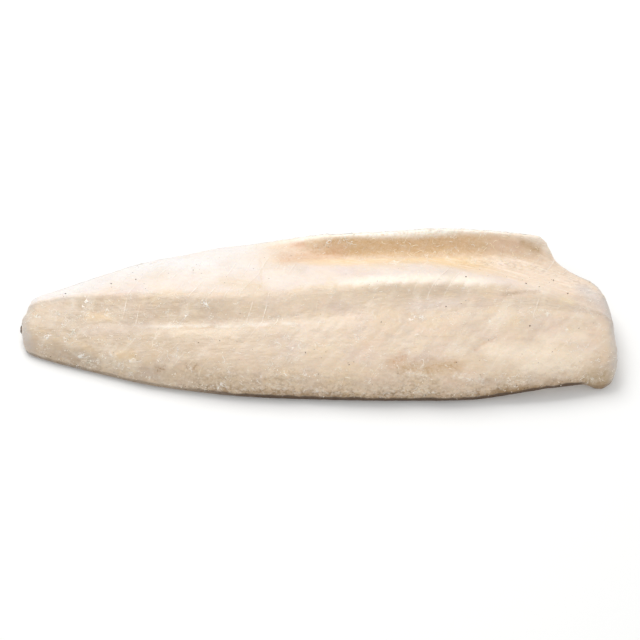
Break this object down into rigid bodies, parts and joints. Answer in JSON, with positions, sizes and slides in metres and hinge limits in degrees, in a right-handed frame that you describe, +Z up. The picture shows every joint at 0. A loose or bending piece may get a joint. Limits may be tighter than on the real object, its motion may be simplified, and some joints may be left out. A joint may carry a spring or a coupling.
{
  "type": "escolar fillet",
  "caption": "Whole skinless frozen escolar fillet lying flesh side up, with a backbone groove, a raised belly flap cut off at a slant, and a narrow blunt tail end",
  "frame": {"origin": "on the table, under the middle of the fillet's bounding box", "axes": "+X from the tail cut to the head cut, +Y from the back edge to the belly edge, +Z up through the thickness, flesh side up"},
  "size_m": [0.641, 0.201, 0.0514],
  "materials": {
    "frozen_flesh": "pale cream frozen fish flesh under a thin satin glaze of ice"
  },
  "bodies": {
    "root": {"fillet": "frozen_flesh"}
  },
  "joints": []
}
